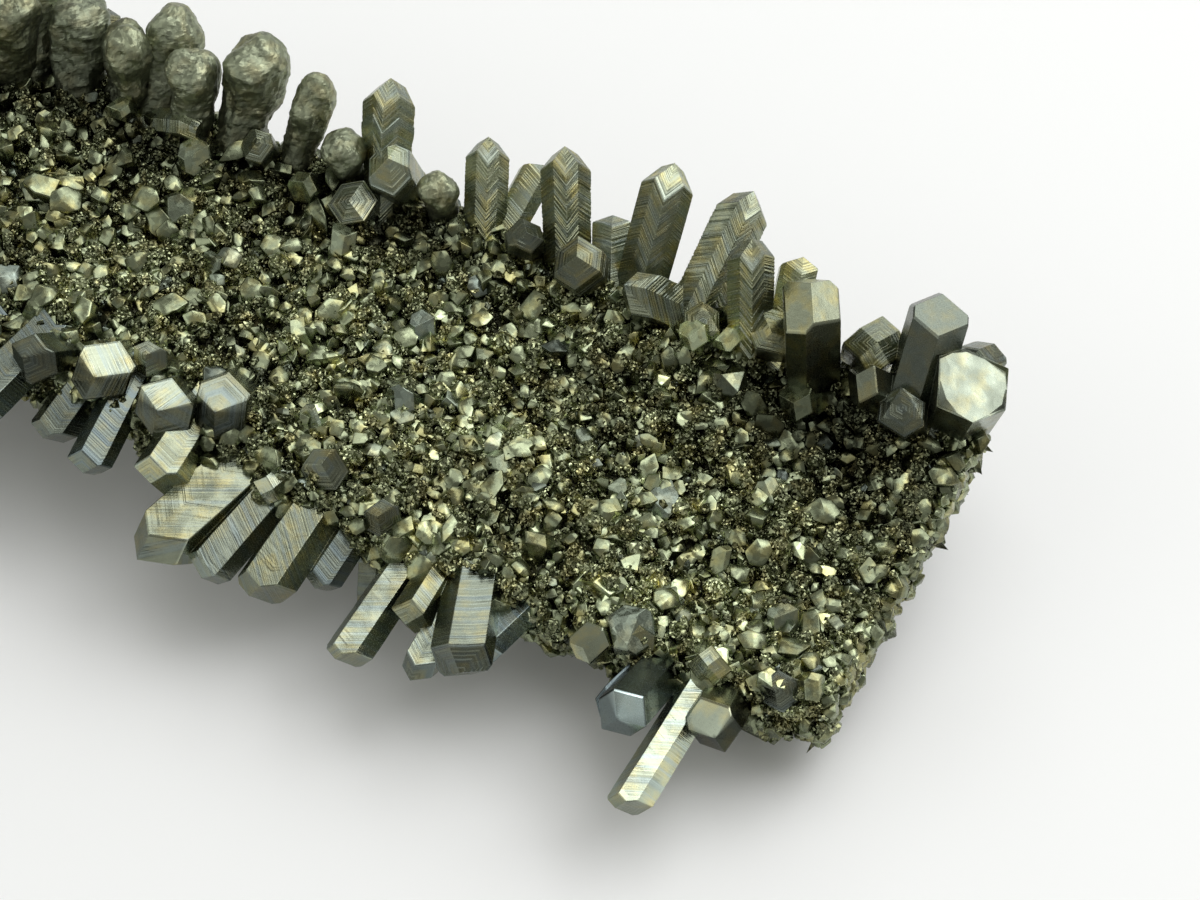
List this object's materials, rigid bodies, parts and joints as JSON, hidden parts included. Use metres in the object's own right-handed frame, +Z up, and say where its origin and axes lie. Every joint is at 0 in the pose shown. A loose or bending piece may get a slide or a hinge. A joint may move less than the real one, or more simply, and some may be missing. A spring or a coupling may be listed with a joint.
{
  "type": "niobium crystal bar",
  "caption": "Rugged metal bar of grown niobium: a flat, grainy crust with long faceted crystals fanning out from both rims and rounded knobs at one end.",
  "frame": {"origin": "under the middle of the bar's bounding box, on the surface that the bar rests on", "axes": "+X along the bar to its broken end, +Y across it to the rim whose crystals stand up, +Z up from the surface through the grainy face"},
  "size_m": [0.0638, 0.0274, 0.0148],
  "materials": {
    "niobium": "bare satin metal, dark grey with a faint olive cast and bluish patches"
  },
  "bodies": {
    "root": {"crystal_bar": "niobium"}
  },
  "joints": []
}
